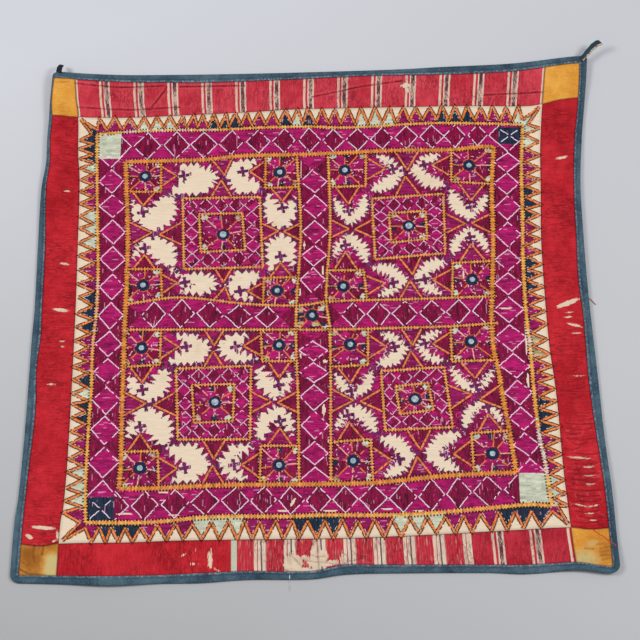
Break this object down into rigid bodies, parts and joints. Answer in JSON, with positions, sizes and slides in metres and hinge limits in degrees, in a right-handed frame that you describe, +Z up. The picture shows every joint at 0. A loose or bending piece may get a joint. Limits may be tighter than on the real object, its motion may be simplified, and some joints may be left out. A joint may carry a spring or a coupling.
{
  "type": "embroidered panel",
  "caption": "Square hanging cloth with a magenta and orange embroidered field set with small mirrors, red border strips, yellow corners and an indigo bound edge.",
  "frame": {"origin": "on the surface that the cloth lies on, under the mirror in the middle of the field", "axes": "+X to the right of the face, +Y towards the side with the hanging tabs, +Z up out of the face"},
  "size_m": [0.9628, 0.9564, 0.0274],
  "materials": {
    "embroidery": "worked all over in floss",
    "plain_red": "plain woven cotton",
    "striped_red": "striped woven cotton",
    "yellow": "plain woven cotton",
    "indigo_binding": "faded woven tape",
    "mirror_glass": "silvered glass"
  },
  "bodies": {
    "root": {"field": "embroidery", "strip_left": "plain_red", "strip_right": "plain_red", "strip_top": "striped_red", "strip_bottom_plain": "plain_red", "strip_bottom_worn": "striped_red", "strip_bottom_striped": "striped_red", "corner_top_left": "yellow", "corner_top_right": "yellow", "corner_bottom_left": "yellow", "corner_bottom_right": "yellow", "binding_left": "indigo_binding", "binding_right": "indigo_binding", "binding_top": "indigo_binding", "binding_bottom": "indigo_binding", "tab_left": "indigo_binding", "tab_right": "indigo_binding", "mirror_top_left_1": "mirror_glass", "mirror_top_left_2": "mirror_glass", "mirror_top_left_3": "mirror_glass", "mirror_top_left_4": "mirror_glass", "mirror_top_left_middle": "mirror_glass", "mirror_top_right_1": "mirror_glass", "mirror_top_right_2": "mirror_glass", "mirror_top_right_3": "mirror_glass", "mirror_top_right_4": "mirror_glass", "mirror_top_right_middle": "mirror_glass", "mirror_bottom_left_1": "mirror_glass", "mirror_bottom_left_2": "mirror_glass", "mirror_bottom_left_3": "mirror_glass", "mirror_bottom_left_4": "mirror_glass", "mirror_bottom_left_middle": "mirror_glass", "mirror_bottom_right_1": "mirror_glass", "mirror_bottom_right_2": "mirror_glass", "mirror_bottom_right_3": "mirror_glass", "mirror_bottom_right_4": "mirror_glass", "mirror_bottom_right_middle": "mirror_glass", "mirror_middle": "mirror_glass"}
  },
  "joints": []
}
